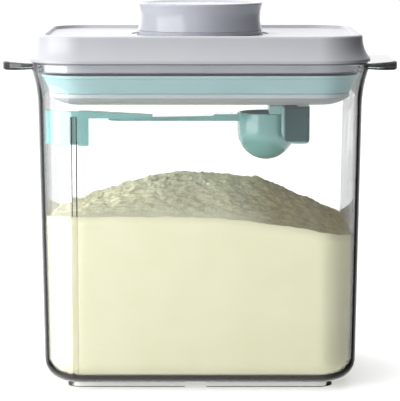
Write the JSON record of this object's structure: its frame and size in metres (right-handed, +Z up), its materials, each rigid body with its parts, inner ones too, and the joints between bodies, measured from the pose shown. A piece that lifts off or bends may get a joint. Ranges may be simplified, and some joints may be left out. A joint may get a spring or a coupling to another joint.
{
  "type": "formula dispenser",
  "caption": "Clear airtight container for milk powder with a pop-up button lid, hanging scoop and a levelling skirt inside.",
  "frame": {"origin": "centre of the underside of the container's foot", "axes": "+X to the right along the lifting ears, +Y to the back, +Z up towards the button"},
  "size_m": [0.184, 0.114, 0.1772],
  "materials": {
    "clear_plastic": "gloss",
    "mint_plastic": "satin",
    "clip_mint": "satin",
    "powder": "matte",
    "lid_grey": "satin",
    "button_grey": "satin",
    "frame_grey": "satin",
    "plate_plastic": "satin",
    "seal_silicone": "satin",
    "black_foam": "matte",
    "inner_plastic": "satin",
    "steel": "satin"
  },
  "bodies": {
    "container": {"container_body": "clear_plastic", "leveler": "mint_plastic", "milk_powder": "powder"},
    "lid": {"lid_shell": "lid_grey", "lid_frame": "frame_grey", "frame_screws": "steel", "gap_gasket": "black_foam", "button_spring": "steel", "latch_bracket": "inner_plastic", "rocker_pin_left": "steel", "rocker_pin_right": "steel"},
    "button": {"button_shell": "button_grey", "button_core": "inner_plastic"},
    "latch": {"latch_pin": "steel"},
    "rocker_left": {"rocker_left": "inner_plastic"},
    "rocker_right": {"rocker_right": "inner_plastic"},
    "seal_plate": {"pressure_plate": "plate_plastic", "seal_gasket": "seal_silicone", "lift_yoke_left": "inner_plastic", "lift_yoke_right": "inner_plastic", "yoke_screws": "steel", "scoop_clip": "clip_mint"},
    "scoop": {"scoop": "mint_plastic"}
  },
  "joints": [
    {"name": "lid_lift", "type": "slide", "parent": "container", "child": "lid", "axis": [0, 0, 1], "range_m": [0, 0.09]},
    {"name": "button_press", "type": "slide", "parent": "lid", "child": "button", "axis": [0, 0, -1], "range_m": [0, 0.011], "stiffness_N_per_m": 300, "springref_m": -0.006, "deforming": ["button_spring"]},
    {"name": "seal_lift", "type": "slide", "parent": "lid", "child": "seal_plate", "axis": [0, 0, 1], "range_m": [0, 0.0012], "deforming": ["gap_gasket"]},
    {"name": "rocker_right_turn", "type": "hinge", "parent": "lid", "child": "rocker_right", "pos_m": [0.053, 0, 0.151], "axis": [0, 1, 0], "range_deg": [-24, 0]},
    {"name": "rocker_left_turn", "type": "hinge", "parent": "lid", "child": "rocker_left", "pos_m": [-0.053, 0, 0.151], "axis": [0, 1, 0], "range_deg": [0, 24]},
    {"name": "latch_swing", "type": "hinge", "parent": "lid", "child": "latch", "pos_m": [0, 0.017, 0.1449], "axis": [0, 1, 0], "range_deg": [0, 6]},
    {"name": "scoop_slide", "type": "slide", "parent": "seal_plate", "child": "scoop", "axis": [-1, 0, 0], "range_m": [0, 0.02]}
  ],
  "couplings": [
    {"joint": "seal_lift", "follows": "button_press", "ratio": 0.109},
    {"joint": "rocker_right_turn", "follows": "button_press", "rad_per_m": -38.07},
    {"joint": "rocker_left_turn", "follows": "button_press", "rad_per_m": 38.07},
    {"joint": "latch_swing", "follows": "button_press", "rad_per_m": 9.515}
  ]
}
